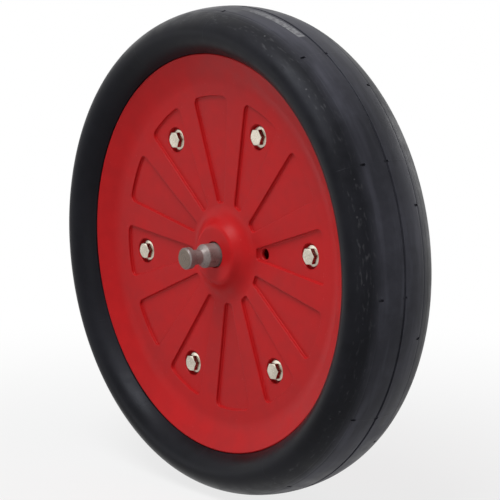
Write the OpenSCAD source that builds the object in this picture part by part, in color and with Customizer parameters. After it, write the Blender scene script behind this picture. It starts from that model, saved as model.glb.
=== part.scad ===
// Planter press wheel: a hollow rubber tyre clamped between two dished, bolted rim halves that run
// on two sealed ball bearings on a stub axle with a locking neck.
// The origin is the wheel's centre. The axle lies along Y with its free stub towards -Y, and +Z is up.

/* [Tyre] */
// Diameter over the tread
tyre_d = 330; // [300:1:360]
// Height of the tread above the rim's edge
tyre_section_h = 30.6; // [27:0.2:34]
// Width over the sidewalls
tyre_w = 69; // [62:1:80]
// Height of the tread above the widest ring of the sidewall
tyre_crown_h = 16.5; // [12:0.5:19]
// Thickness of the rubber under the tread
tread_t = 8; // [5:0.5:10]
// Thickness of the rubber in the sidewall
sidewall_t = 10; // [7:0.5:14]
// Width of the groove round the middle of the tread
groove_w = 1.6; // [1:0.1:4]
// Depth of the groove round the middle of the tread
groove_depth = 1.2; // [0.6:0.1:3]
// Width of the slit through the tyre's foot, which lets the hollow breathe
foot_slit_w = 4; // [2:0.5:8]

/* [Rim] */
// Width over the two lips
rim_w = 46.4; // [42:0.2:52]
// Thickness of the lip
lip_t = 3.6; // [2.5:0.1:5]
// Height of the lip above the web's edge, across the axis
lip_h = 16.4; // [13:0.2:19]
// Step from the rim's edge down to the barrel that carries the tyre's foot
barrel_step = 17.4; // [15:0.2:20]
// Wall of the barrel
barrel_t = 4; // [3:0.5:6]
// Distance from the split to the web's outside at the hub
web_z = 11.8; // [11:0.1:14]
// Slope of the web, rising towards the lip, in degrees
web_slope = 2; // [0:0.5:4]
// Thickness of the web
web_t = 4.2; // [3.6:0.1:6]
// Radius of the lip's outer edge
lip_nose_r = 0.9; // [0.4:0.1:1.2]
// Radius of the lip's edge on the tyre's side
lip_heel_r = 0.4; // [0.2:0.1:0.8]
// Radius of the blend between web and lip
lip_blend_r = 24; // [10:1:30]
// Number of stiffening ribs behind the web
back_rib_count = 12; // [6:1:16]
// Thickness of a stiffening rib
back_rib_t = 2.8; // [2:0.2:4]
// Gap between a stiffening rib and the split
back_rib_gap = 1; // [0.5:0.5:3]

/* [Pockets] */
// Number of wedge pockets in the web's face
pocket_count = 12; // [6:6:12]
// Distance from the axis to a pocket's inner end
pocket_inner_r = 34; // [32:0.5:44]
// Plain band between the pockets' outer ends and the lip
pocket_margin = 12; // [8:0.5:16]
// Width of a pocket at its inner end
pocket_inner_w = 7; // [4:0.5:9]
// Width of a pocket at its outer end
pocket_outer_w = 37; // [30:0.5:42]
// Depth of a pocket
pocket_depth = 1.9; // [1:0.1:2.4]
// Radius of a pocket's inner corners
pocket_inner_corner_r = 2.4; // [0.5:0.1:2.6]
// Radius of a pocket's outer corners
pocket_corner_r = 4; // [1:0.5:6]
// Diameter of the vent hole through one pocket's floor
vent_d = 7.4; // [4:0.2:9]
// Distance from the axis to the vent hole
vent_r = 41.5; // [40:0.5:60]

/* [Bolts] */
// Number of bolts that hold the rim halves together
bolt_count = 6; // [3:3:6]
// Distance from the pockets' outer ends in to the bolts' centres
bolt_inset = 17; // [12:0.5:24]
// Diameter of the bolt's shank
bolt_d = 6; // [5:0.5:8]
// How far a bolt's tip stands out of its nut
bolt_tip = 1; // [0.5:0.5:4]
// Diameter of the flange under the head and the nut
flange_d = 14.2; // [13:0.2:16]
// Thickness of the flange at its edge
flange_t = 1.1; // [0.8:0.1:1.5]
// Height of the flange's sloping top
flange_rise = 0.7; // [0.3:0.1:1.2]
// Width of the hexagon across flats
hex_af = 10; // [9:0.5:11]
// Step from the hexagon's flats in to its flat end
hex_face_step = 0.4; // [0.1:0.1:1]
// Height of the hexagon's corner chamfer
hex_chamfer_h = 1.2; // [0.6:0.1:1.6]
// Height of the bolt's head with its flange
head_h = 5; // [4:0.2:7]
// Distance from the split to the floor of a bolt's counterbore
bolt_seat_z = 9; // [7:0.5:10]
// Gap between a bolt's flange and its counterbore
counterbore_gap = 1.3; // [0.8:0.1:2.4]
// Wall of a bolt's boss round its counterbore
boss_t = 2.6; // [2:0.1:4]
// Gap between the bolt's shank and its hole
bolt_gap = 0.3; // [0.1:0.1:0.6]
// Height of the nut with its flange
nut_h = 6; // [5:0.5:8]
// Height of the lock ring in the nut
lock_ring_h = 1.6; // [1:0.2:2]
// Radial thickness of the lock ring
lock_ring_t = 1; // [0.6:0.1:1.2]

/* [Hub] */
// Wall of the hub in front of the bearing's clear space
hub_face_t = 3.9; // [3:0.1:6]
// Diameter of the hub's flat face with its rounded edge
hub_face_d = 38.8; // [36:0.2:44]
// Diameter of the hub's foot on the web
hub_root_d = 53; // [50:0.5:60]
// Radius of the hub's edge
hub_edge_r = 2.5; // [1:0.5:4]
// Radius of the blend between hub and web
hub_blend_r = 6; // [3:0.5:8]
// Wall of the tube round the bearing seat
hub_tube_t = 5.5; // [4:0.5:8]
// Radial gap between the stub and the hole in the hub
hub_hole_gap = 0.8; // [0.4:0.1:1.5]
// Height of the shoulder that a bearing seats against
bearing_shoulder_h = 3; // [2:0.1:4]
// Depth of the clear space in front of the bearing
hub_cavity_h = 2.6; // [2.2:0.1:4]

/* [Axle] */
// Diameter of the stub that a planter's arm takes
stub_d = 16; // [14:0.5:16.5]
// Length of the stub out of the hub
stub_l = 25; // [22:0.5:40]
// Length of the head at the stub's end
stub_head_l = 5; // [3:0.5:8]
// Diameter of the head at the stub's end
stub_head_d = 14.6; // [13:0.2:16]
// Diameter of the locking neck
neck_d = 10; // [8:0.5:12]
// Length of the locking neck
neck_l = 7.5; // [5:0.5:9]
// Length of the cone between neck and stub
cone_l = 3.7; // [1:0.1:5]
// Length of the stub's relief groove at the hub's face
relief_l = 1; // [0.6:0.1:1.5]
// How far the stub's relief groove reaches out of the hub
relief_out = 0.2; // [0.1:0.1:0.5]
// Depth of the stub's relief groove
relief_depth = 0.3; // [0.2:0.1:0.6]
// Length of the axle's tail behind the rear bearing's clear space
axle_tail_l = 1.9; // [1.6:0.1:3.5]
// Width of the axle's edge chamfers
axle_chamfer = 1; // [0.4:0.1:1.5]
// Thickness of a circlip
circlip_t = 1; // [0.8:0.1:1.2]
// Play of a circlip in its groove
circlip_play = 0.1; // [0.05:0.05:0.2]
// Radial width of a circlip
circlip_b = 2.4; // [1.8:0.1:3]
// Depth of a circlip's groove in the axle
circlip_groove = 0.45; // [0.3:0.05:0.6]
// Width of the opening in a circlip
circlip_opening = 4; // [3:0.5:6]
// Radius of a circlip's eye
circlip_eye_r = 1.9; // [1.4:0.1:2.4]
// How far a circlip's eye stands off the ring's bore
circlip_eye_out = 0.4; // [0.2:0.1:1]
// Diameter of a circlip's plier hole
plier_hole_d = 1.5; // [1:0.1:1.8]

/* [Bearings] */
// Bore of a bearing
bearing_bore = 17; // [17:0.5:18]
// Outside diameter of a bearing
bearing_od = 40; // [39:0.5:42]
// Width of a bearing
bearing_w = 12; // [11.5:0.5:13]
// Diameter of a ball
ball_d = 6.75; // [6:0.05:7]
// Number of balls in a bearing
ball_count = 8; // [6:1:9]
// Gap between the shoulders of the inner and the outer ring
land_gap = 4; // [3:0.1:4.8]
// Length of the spacer between the inner rings
spacer_w = 5; // [3:0.5:7]
// Wall of the spacer
spacer_t = 2.5; // [1.5:0.1:3]
// Radial thickness of the ball cage
cage_t = 2; // [1.4:0.1:2.4]
// Thickness of a seal
seal_t = 1.2; // [0.8:0.1:1.4]
// Distance from a seal's outside to the bearing's face
seal_inset = 0.4; // [0.2:0.1:0.6]
// Depth of a seal's seat in the outer ring
seal_seat = 0.8; // [0.4:0.1:1]

/* [Fits] */
// Running gap between a ball and its races
ball_gap = 0.1; // [0.05:0.01:0.2]
// Gap between a ball and its cage pocket
cage_gap = 0.15; // [0.1:0.05:0.3]
// Gap at a seal's running lip
lip_gap = 0.15; // [0.1:0.05:0.3]
// Radial gap of a ring on its seat
seat_gap = 0.03; // [0.02:0.01:0.08]
// Gap between the tyre and the rim
tyre_gap = 0.2; // [0.1:0.05:0.4]
// Gap in a thread and round its lock ring
thread_gap = 0.06; // [0.03:0.01:0.1]

/* [Pose] */
// Angle of the wheel's first bolt above the horizontal, in degrees
rest_angle = 6.5; // [0:0.5:60]

/* [Hidden] */
$fn = 96;

// Facets in one rounded corner of a profile
corner_steps = 5;
// Facets in a pocket's outer arc
pocket_arc_steps = 4;
// Facets in the tread's half, in a sidewall and in the hollow's half
tread_steps = 14;
sidewall_steps = 10;
chamber_steps = 12;
// Overlap that makes joined shapes one solid, and lets cutters pass a face
over = 1;

tyre_r = tyre_d / 2;
tyre_half = tyre_w / 2;
widest_r = tyre_r - tyre_crown_h;
rim_r = tyre_r - tyre_section_h;
rim_edge_z = rim_w / 2;
barrel_r = rim_r - barrel_step;
lip_root_r = rim_r - lip_h;
pocket_outer_r = lip_root_r - pocket_margin;
bolt_circle_r = pocket_outer_r - bolt_inset;
bolt_len = 2 * bolt_seat_z + nut_h + bolt_tip;
hex_face_d = hex_af - 2 * hex_face_step;
counterbore_d = flange_d + 2 * counterbore_gap;
boss_d = counterbore_d + 2 * boss_t;
hub_root_r = hub_root_d / 2;
journal_r = bearing_bore / 2;
stub_r = stub_d / 2;
hub_hole_r = stub_r + hub_hole_gap;
bearing_r = bearing_od / 2;
seat_r = bearing_r + seat_gap;
hub_tube_r = seat_r + hub_tube_t;
hub_cavity_r = bearing_r - bearing_shoulder_h;
bearing_inner_z = spacer_w / 2;
bearing_outer_z = bearing_inner_z + bearing_w;
cavity_z = bearing_outer_z + hub_cavity_h;
hub_z = cavity_z + hub_face_t;
stub_end_z = hub_z + stub_l;
ball_r = ball_d / 2;
ball_circle_r = (journal_r + bearing_r) / 2;
inner_land_r = ball_circle_r - land_gap / 2;
outer_land_r = ball_circle_r + land_gap / 2;
circlip_groove_w = circlip_t + circlip_play;
circlip_bore_r = journal_r - circlip_groove + seat_gap;
circlip_r = circlip_bore_r + circlip_b;
nut_seat_z = -bolt_seat_z;
neck_end_z = stub_end_z - stub_head_l;
cone_start_z = neck_end_z - neck_l;
cone_end_z = cone_start_z - cone_l;
relief_end_z = hub_z + relief_out;

// Height of the web's outside, of its inside and of a pocket's floor at a distance r from the axis
function web_top(r) = web_z + (r - hub_root_r) * tan(web_slope);
function web_back(r) = web_top(r) - web_t;
function pocket_floor(r) = web_top(r) - pocket_depth;

// The lip is a straight flange from the web's edge to the rim's edge
lip_angle = atan2(rim_edge_z - web_top(lip_root_r), rim_r - lip_root_r);
function lip_back(r) = web_top(lip_root_r) + (r - lip_root_r) * tan(lip_angle) - lip_t / cos(lip_angle);

// The sidewall below the widest ring is a quarter ellipse that ends at the rim's edge
foot_top_r = rim_r + tyre_gap;
sidewall_drop = (widest_r - foot_top_r) / sqrt(1 - pow(rim_edge_z / tyre_half, 2));
sidewall_end = acos(rim_edge_z / tyre_half);
chamber_half = tyre_half - sidewall_t;
chamber_h = tyre_crown_h - tread_t;
slit_angle = asin(foot_slit_w / 2 / chamber_half);

function unit(v) = v / norm(v);

// Points of the arc of radius r that rounds the corner a, b, c
function fillet(a, b, c, r) =
    let (
        u = unit(a - b),
        v = unit(c - b),
        half = acos(u * v) / 2,
        centre = b + unit(u + v) * r / sin(half),
        p = b + u * r / tan(half) - centre,
        q = b + v * r / tan(half) - centre,
        start = atan2(p[1], p[0]),
        turn = atan2(p[0] * q[1] - p[1] * q[0], p * q)
    )
    [for (i = [0:corner_steps])
        centre + r * [cos(start + turn * i / corner_steps), sin(start + turn * i / corner_steps)]];

// Outline through [x, y, radius] corners, each rounded where its radius isn't 0
function rounded(corners) =
    let (n = len(corners))
    [for (i = [0:n - 1])
        let (
            a = corners[(i + n - 1) % n],
            b = corners[i],
            c = corners[(i + 1) % n]
        )
        each (b[2] > 0
            ? fillet([a[0], a[1]], [b[0], b[1]], [c[0], c[1]], b[2])
            : [[b[0], b[1]]])];

// Points of an ellipse round [cx, cy] from angle a0 to a1
function ellipse_arc(cx, cy, rx, ry, a0, a1, steps) =
    [for (i = [0:steps])
        let (a = a0 + (a1 - a0) * i / steps)
        [cx + rx * cos(a), cy + ry * sin(a)]];

// A half outline that starts and ends on the middle plane, closed by its own mirror image
function with_mirror(half) =
    concat(half, [for (i = [len(half) - 2:-1:1]) [half[i][0], -half[i][1]]]);

// Stands a shape made along +Z on the wheel's axis, with its +Z side towards the stub
module on_axis() {
    rotate([90, 0, 0]) children();
}

// Places a shape that turns with the wheel
module on_wheel() {
    on_axis() rotate([0, 0, rest_angle]) children();
}

// Turns a front piece over, so that it becomes the rear one
module turned_over() {
    rotate([0, 180, 0]) children();
}

module ring(inner_r, outer_r, z0, z1) {
    translate([0, 0, z0]) difference() {
        cylinder(r = outer_r, h = z1 - z0);
        translate([0, 0, -over]) cylinder(r = inner_r, h = z1 - z0 + 2 * over);
    }
}

// Six flats between two heights
module hexagon(z0, z1) {
    translate([0, 0, z0]) cylinder(d = hex_af / cos(30), h = z1 - z0, $fn = 6);
}

module at_bolts() {
    for (i = [0:bolt_count - 1])
        rotate([0, 0, i * 360 / bolt_count]) translate([bolt_circle_r, 0, 0]) children();
}

// Half of the tyre's section: tread, sidewall, foot, slit and hollow
tyre_half_section = concat(
    [[tyre_r - groove_depth, 0], [tyre_r - groove_depth, groove_w / 2]],
    ellipse_arc(widest_r, 0, tyre_crown_h, tyre_half, asin(groove_w / tyre_w), 90, tread_steps),
    ellipse_arc(
        widest_r, 0, sidewall_drop, tyre_half,
        90 + sidewall_end / sidewall_steps, 90 + sidewall_end, sidewall_steps - 1
    ),
    [
        [foot_top_r, lip_back(foot_top_r) - tyre_gap],
        [barrel_r + tyre_gap, lip_back(barrel_r) - tyre_gap],
        [barrel_r + tyre_gap, foot_slit_w / 2],
    ],
    ellipse_arc(widest_r, 0, chamber_h, chamber_half, 180 - slit_angle, 0, chamber_steps)
);

module tyre() {
    color([0.09, 0.09, 0.1]) on_wheel() rotate_extrude() polygon(with_mirror(tyre_half_section));
}

// Half section of one rim moulding: hub, web, lip and barrel
module rim_section() {
    polygon(rounded([
        [hub_hole_r, hub_z, 0],
        [hub_face_d / 2, hub_z, hub_edge_r],
        [hub_root_r, web_top(hub_root_r), hub_blend_r],
        [lip_root_r, web_top(lip_root_r), lip_blend_r],
        [rim_r, rim_edge_z, lip_nose_r],
        [rim_r, lip_back(rim_r), lip_heel_r],
        [barrel_r, lip_back(barrel_r), 0],
        [barrel_r, 0, 0],
        [barrel_r - barrel_t, 0, 0],
        [barrel_r - barrel_t, web_back(barrel_r - barrel_t), 0],
        [hub_tube_r, web_back(hub_tube_r), 0],
        [hub_tube_r, 0, 0],
        [seat_r, 0, 0],
        [seat_r, bearing_outer_z, 0],
        [hub_cavity_r, bearing_outer_z, 0],
        [hub_cavity_r, cavity_z, 0],
        [hub_hole_r, cavity_z, 0],
    ]));
}

// Outline of one pocket along +X: a wedge with a round inner end and rounded outer corners
module pocket_outline() {
    half_angle = asin(pocket_outer_w / 2 / pocket_outer_r);
    polygon(rounded(concat(
        [[pocket_inner_r, -pocket_inner_w / 2, pocket_inner_corner_r]],
        [for (i = [-pocket_arc_steps / 2:pocket_arc_steps / 2])
            let (a = half_angle * 2 * i / pocket_arc_steps)
            [
                pocket_outer_r * cos(a),
                pocket_outer_r * sin(a),
                abs(i) == pocket_arc_steps / 2 ? pocket_corner_r : 0,
            ]],
        [[pocket_inner_r, pocket_inner_w / 2, pocket_inner_corner_r]]
    )));
}

// Everything above the pockets' floor, as a ring round the axis
module above_pocket_floor() {
    r0 = pocket_inner_r - over;
    r1 = pocket_outer_r + over;
    rotate_extrude() polygon([
        [r0, pocket_floor(r0)],
        [r1, pocket_floor(r1)],
        [r1, rim_edge_z],
        [r0, rim_edge_z],
    ]);
}

module pockets() {
    intersection() {
        above_pocket_floor();
        for (i = [0:pocket_count - 1])
            rotate([0, 0, i * 360 / pocket_count]) linear_extrude(rim_w) pocket_outline();
    }
}

// Radial stiffeners behind the web, from the hub's tube to the barrel
module back_ribs() {
    r0 = hub_tube_r - over;
    r1 = barrel_r - barrel_t + over;
    for (i = [0:back_rib_count - 1])
        rotate([90, 0, (i + 0.5) * 360 / back_rib_count])
            translate([0, 0, -back_rib_t / 2]) linear_extrude(back_rib_t) polygon([
                [r0, back_rib_gap],
                [r1, back_rib_gap],
                [r1, web_back(r1) + over],
                [r0, web_back(r0) + over],
            ]);
}

// One rim moulding, split face at z = 0 and dished face towards +Z; both halves come from it
module rim_half() {
    boss_top = web_back(bolt_circle_r - boss_d / 2) + over;
    difference() {
        union() {
            rotate_extrude() rim_section();
            back_ribs();
            at_bolts() cylinder(d = boss_d, h = boss_top);
        }
        pockets();
        at_bolts() {
            translate([0, 0, -over]) cylinder(r = bolt_d / 2 + bolt_gap, h = rim_w);
            translate([0, 0, bolt_seat_z]) cylinder(d = counterbore_d, h = rim_w);
        }
        translate([vent_r, 0, 0]) cylinder(d = vent_d, h = rim_w);
    }
}

module front_rim() {
    color([0.65, 0.13, 0.14]) on_wheel() rim_half();
}

module rear_rim() {
    color([0.65, 0.13, 0.14]) on_wheel() turned_over() rim_half();
}

// Flange with a sloping top, seat at z = 0
module flange(bore_r) {
    rotate_extrude() polygon([
        [bore_r, 0],
        [flange_d / 2, 0],
        [flange_d / 2, flange_t],
        [hex_af / 2, flange_t + flange_rise],
        [bore_r, flange_t + flange_rise],
    ]);
}

// Cone that breaks a hexagon's corners, its smaller end at height z
module corner_chamfer(z) {
    translate([0, 0, -over]) cylinder(d = flange_d, h = z - hex_chamfer_h + over);
    translate([0, 0, z - hex_chamfer_h]) cylinder(d1 = flange_d, d2 = hex_face_d, h = hex_chamfer_h);
}

module rim_bolt() {
    translate([0, 0, bolt_seat_z]) {
        flange(0);
        intersection() {
            hexagon(flange_t, head_h);
            corner_chamfer(head_h);
        }
    }
    translate([0, 0, bolt_seat_z - bolt_len]) cylinder(d = bolt_d, h = bolt_len + flange_t);
}

module rim_bolts() {
    color([0.78, 0.78, 0.76]) on_wheel() at_bolts() rim_bolt();
}

// One flanged lock nut, seated on the rear rim and open for its lock ring at the far end
module rim_nut() {
    bore_r = bolt_d / 2 + thread_gap;
    translate([0, 0, nut_seat_z]) rotate([180, 0, 0]) {
        flange(bore_r);
        difference() {
            intersection() {
                hexagon(flange_t, nut_h);
                corner_chamfer(nut_h);
            }
            cylinder(r = bore_r, h = nut_h + over);
            translate([0, 0, nut_h - lock_ring_h])
                cylinder(r = bore_r + lock_ring_t + thread_gap, h = lock_ring_h + over);
        }
    }
}

module rim_nuts() {
    color([0.78, 0.78, 0.76]) on_wheel() at_bolts() rim_nut();
}

module nut_lock_rings() {
    bore_r = bolt_d / 2 + thread_gap;
    color([0.2, 0.3, 0.55]) on_wheel() at_bolts()
        ring(bore_r, bore_r + lock_ring_t, nut_seat_z - nut_h, nut_seat_z - nut_h + lock_ring_h);
}

// Half section of the axle, from its rear end to the head of the stub
module axle_section() {
    rear_z = -cavity_z - axle_tail_l;
    groove_r = journal_r - circlip_groove;
    land_z = bearing_outer_z + circlip_groove_w;
    polygon([
        [0, rear_z],
        [stub_r - axle_chamfer, rear_z],
        [stub_r, rear_z + axle_chamfer],
        [stub_r, -cavity_z],
        [journal_r, -cavity_z],
        [journal_r, -land_z],
        [groove_r, -land_z],
        [groove_r, -bearing_outer_z],
        [journal_r, -bearing_outer_z],
        [journal_r, bearing_outer_z],
        [groove_r, bearing_outer_z],
        [groove_r, land_z],
        [journal_r, land_z],
        [journal_r, cavity_z],
        [stub_r, cavity_z],
        [stub_r, relief_end_z - relief_l],
        [stub_r - relief_depth, relief_end_z - relief_l],
        [stub_r - relief_depth, relief_end_z],
        [stub_r, relief_end_z],
        [stub_r, cone_end_z],
        [neck_d / 2, cone_start_z],
        [neck_d / 2, neck_end_z],
        [stub_head_d / 2 - axle_chamfer / 2, neck_end_z],
        [stub_head_d / 2, neck_end_z + axle_chamfer / 2],
        [stub_head_d / 2, stub_end_z - axle_chamfer],
        [stub_head_d / 2 - axle_chamfer, stub_end_z],
        [0, stub_end_z],
    ]);
}

module axle() {
    color([0.62, 0.61, 0.6]) on_axis() rotate_extrude() axle_section();
}

module bearing_spacer() {
    bore_r = journal_r + thread_gap;
    color([0.6, 0.6, 0.62]) on_axis() ring(bore_r, bore_r + spacer_t, -spacer_w / 2, spacer_w / 2);
}

// Open ring with two eyes, lying against the front bearing's inner ring
module circlip() {
    eye_x = circlip_bore_r + circlip_eye_r + circlip_eye_out;
    eye_y = circlip_opening / 2 + circlip_eye_r;
    translate([0, 0, bearing_outer_z]) difference() {
        union() {
            cylinder(r = circlip_r, h = circlip_t);
            for (side = [-1, 1])
                translate([eye_x, side * eye_y, 0]) cylinder(r = circlip_eye_r, h = circlip_t);
        }
        translate([0, 0, -over]) cylinder(r = circlip_bore_r, h = circlip_t + 2 * over);
        translate([0, -circlip_opening / 2, -over])
            cube([circlip_r + 2 * circlip_eye_r, circlip_opening, circlip_t + 2 * over]);
        for (side = [-1, 1])
            translate([eye_x, side * eye_y, -over]) cylinder(d = plier_hole_d, h = circlip_t + 2 * over);
    }
}

module front_circlip() {
    color([0.3, 0.3, 0.32]) on_axis() circlip();
}

module rear_circlip() {
    color([0.3, 0.3, 0.32]) on_axis() turned_over() circlip();
}

// The bearing's own parts, round the middle of the front bearing
module at_bearing() {
    translate([0, 0, bearing_inner_z + bearing_w / 2]) children();
}

module race() {
    rotate_extrude() translate([ball_circle_r, 0]) circle(r = ball_r + ball_gap);
}

module outer_ring() {
    seal_z = bearing_w / 2 - seal_inset - seal_t;
    at_bearing() difference() {
        ring(outer_land_r, bearing_r, -bearing_w / 2, bearing_w / 2);
        race();
        for (side = [0, 1])
            mirror([0, 0, side]) translate([0, 0, seal_z])
                cylinder(r = outer_land_r + seal_seat, h = bearing_w);
    }
}

module inner_ring() {
    at_bearing() difference() {
        ring(journal_r + seat_gap, inner_land_r, -bearing_w / 2, bearing_w / 2);
        race();
    }
}

module at_balls() {
    for (i = [0:ball_count - 1])
        rotate([0, 0, i * 360 / ball_count]) translate([ball_circle_r, 0, 0]) children();
}

module balls() {
    at_bearing() at_balls() sphere(d = ball_d);
}

// Crown cage: a ring behind the balls with a pocket round each, open towards +Z
module cage() {
    back_z = bearing_w / 2 - seal_inset - seal_t - 2 * lip_gap;
    at_bearing() difference() {
        ring(ball_circle_r - cage_t / 2, ball_circle_r + cage_t / 2, -back_z, ball_r / 2);
        at_balls() sphere(r = ball_r + cage_gap);
    }
}

// Seal on the bearing's +Z face, seated in the outer ring with its lip round the inner ring
module seal() {
    outside_z = bearing_w / 2 - seal_inset;
    at_bearing() ring(
        inner_land_r + lip_gap,
        outer_land_r + seal_seat - seat_gap,
        outside_z - seal_t,
        outside_z
    );
}

// The same seal on the bearing's other face
module far_seal() {
    outside_z = -bearing_w / 2 + seal_inset;
    at_bearing() ring(
        inner_land_r + lip_gap,
        outer_land_r + seal_seat - seat_gap,
        outside_z,
        outside_z + seal_t
    );
}

module front_outer_ring() {
    color([0.75, 0.76, 0.78]) on_wheel() outer_ring();
}

module front_inner_ring() {
    color([0.75, 0.76, 0.78]) on_axis() inner_ring();
}

module front_balls() {
    color([0.85, 0.86, 0.88]) on_axis() balls();
}

module front_cage() {
    color([0.8, 0.76, 0.62]) on_axis() cage();
}

module front_dust_seal() {
    color([0.12, 0.12, 0.13]) on_wheel() seal();
}

module front_inner_seal() {
    color([0.12, 0.12, 0.13]) on_wheel() far_seal();
}

module rear_outer_ring() {
    color([0.75, 0.76, 0.78]) on_wheel() turned_over() outer_ring();
}

module rear_inner_ring() {
    color([0.75, 0.76, 0.78]) on_axis() turned_over() inner_ring();
}

module rear_balls() {
    color([0.85, 0.86, 0.88]) on_axis() turned_over() balls();
}

module rear_cage() {
    color([0.8, 0.76, 0.62]) on_axis() turned_over() cage();
}

module rear_dust_seal() {
    color([0.12, 0.12, 0.13]) on_wheel() turned_over() seal();
}

module rear_inner_seal() {
    color([0.12, 0.12, 0.13]) on_wheel() turned_over() far_seal();
}

tyre();
front_rim();
rear_rim();
rim_bolts();
rim_nuts();
nut_lock_rings();
axle();
bearing_spacer();
front_circlip();
rear_circlip();
front_outer_ring();
front_inner_ring();
front_balls();
front_cage();
front_dust_seal();
front_inner_seal();
rear_outer_ring();
rear_inner_ring();
rear_balls();
rear_cage();
rear_dust_seal();
rear_inner_seal();
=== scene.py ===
"""Planter press wheel: the visual model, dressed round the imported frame.

The wheel's axis is Y with the stub towards -Y, and +Z is up. Sections are drawn as (r, h) points, where
r is the distance from the axis and h the distance in front of the wheel's middle plane.
"""

import logging
import math
from collections.abc import Iterator
from contextlib import contextmanager
from dataclasses import dataclass, field
from enum import Enum

import bmesh
import bpy
from mathutils import Matrix, Vector


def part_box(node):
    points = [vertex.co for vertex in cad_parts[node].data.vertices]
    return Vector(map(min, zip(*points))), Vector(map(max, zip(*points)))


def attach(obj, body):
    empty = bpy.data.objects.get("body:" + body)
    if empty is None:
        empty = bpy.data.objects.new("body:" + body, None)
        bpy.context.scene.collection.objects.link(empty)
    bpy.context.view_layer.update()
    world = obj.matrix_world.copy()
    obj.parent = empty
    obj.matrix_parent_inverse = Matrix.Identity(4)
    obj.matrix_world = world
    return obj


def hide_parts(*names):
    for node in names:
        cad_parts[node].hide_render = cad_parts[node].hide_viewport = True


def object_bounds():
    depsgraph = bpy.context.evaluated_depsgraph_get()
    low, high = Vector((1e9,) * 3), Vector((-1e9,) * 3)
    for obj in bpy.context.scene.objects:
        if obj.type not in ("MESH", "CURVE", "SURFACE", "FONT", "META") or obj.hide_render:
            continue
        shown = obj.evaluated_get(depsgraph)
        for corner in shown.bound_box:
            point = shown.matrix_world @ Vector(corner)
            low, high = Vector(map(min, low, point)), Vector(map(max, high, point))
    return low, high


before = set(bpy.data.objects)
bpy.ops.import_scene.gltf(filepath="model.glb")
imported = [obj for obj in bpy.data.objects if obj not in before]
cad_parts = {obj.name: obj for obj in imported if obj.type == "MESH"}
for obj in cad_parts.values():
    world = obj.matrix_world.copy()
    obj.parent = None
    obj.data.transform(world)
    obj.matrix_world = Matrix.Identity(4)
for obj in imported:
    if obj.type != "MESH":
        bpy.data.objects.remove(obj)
CAD_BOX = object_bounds()

MM = 0.001
FULL_TURN = 2 * math.pi
MERGE_DISTANCE = 0.001 * MM
SMOOTH_ANGLE = math.radians(32)
FLAT_WEIGHT = 80
WHITE = (1.0, 1.0, 1.0)

log = logging.getLogger("press_wheel")

Point = tuple[float, float]
Triple = tuple[float, float, float]
Piece = bpy.types.Object
Socket = bpy.types.NodeSocket
Sockets = bpy.types.bpy_prop_collection


class Slot(Enum):
    """Material slots of the record."""

    TYRE = "tyre_rubber"
    RIM = "rim_plastic"
    PLATED = "plated_steel"
    LOCK = "lock_nylon"
    TURNED = "turned_steel"
    SPRING = "spring_steel"
    BEARING = "bearing_steel"
    CAGE = "cage_nylon"
    SEAL = "seal_rubber"


class Body(Enum):
    """Bodies of the frame that new pieces ride on."""

    WHEEL = "wheel"
    AXLE = "axle_body"


class Join(Enum):
    """Ways to combine two solids."""

    CUT = "DIFFERENCE"
    COMMON = "INTERSECT"
    ADD = "UNION"


@dataclass(frozen=True)
class Corner:
    """One corner of a section, with the radius that rounds it."""

    r: float
    h: float
    radius: float = 0.0


def rounded(corners: list[Corner], steps: int = 6) -> list[Point]:
    """Rounds the corners of an outline with arcs.

    Args:
        corners: The outline's corners in order.
        steps: Edges in each arc.

    Returns:
        The outline's points.
    """
    points: list[Point] = []
    for i, corner in enumerate(corners):
        here = Vector((corner.r, corner.h))
        if corner.radius == 0:
            points.append((here.x, here.y))
            continue
        before, after = corners[i - 1], corners[(i + 1) % len(corners)]
        u = (Vector((before.r, before.h)) - here).normalized()
        v = (Vector((after.r, after.h)) - here).normalized()
        half = u.angle(v) / 2
        centre = here + (u + v).normalized() * corner.radius / math.sin(half)
        first = here + u * corner.radius / math.tan(half) - centre
        last = here + v * corner.radius / math.tan(half) - centre
        turn = math.atan2(first.x * last.y - first.y * last.x, first.dot(last))
        for k in range(steps + 1):
            p = centre + Matrix.Rotation(turn * k / steps, 2) @ first
            points.append((p.x, p.y))
    return points


def ellipse(centre_r: float, half_axes: Point, start: float, end: float, steps: int) -> list[Point]:
    """Points of an ellipse round a ring of the wheel.

    Args:
        centre_r: Distance of the ellipse's centre from the axis.
        half_axes: Its half axes, across and along the wheel's axis.
        start: First angle, from the outward direction.
        end: Last angle.
        steps: Edges between the two.

    Returns:
        The points, both ends included.
    """
    angles = [start + (end - start) * k / steps for k in range(steps + 1)]
    return [(centre_r + half_axes[0] * math.cos(a), half_axes[1] * math.sin(a)) for a in angles]


def with_mirror(half: list[Point]) -> list[Point]:
    """Closes a half outline, which starts and ends on the middle plane, by its mirror image."""
    return half + [(r, -h) for r, h in half[-2:0:-1]]


def only(obj: Piece) -> None:
    """Selects one object, makes it active and deselects the rest."""
    bpy.ops.object.select_all(action="DESELECT")
    obj.select_set(True)
    bpy.context.view_layer.objects.active = obj


@contextmanager
def editing(obj: Piece) -> Iterator[None]:
    """Works on one object in edit mode with its whole mesh selected."""
    only(obj)
    bpy.ops.object.mode_set(mode="EDIT")
    bpy.ops.mesh.select_all(action="SELECT")
    yield
    bpy.ops.object.mode_set(mode="OBJECT")


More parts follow.
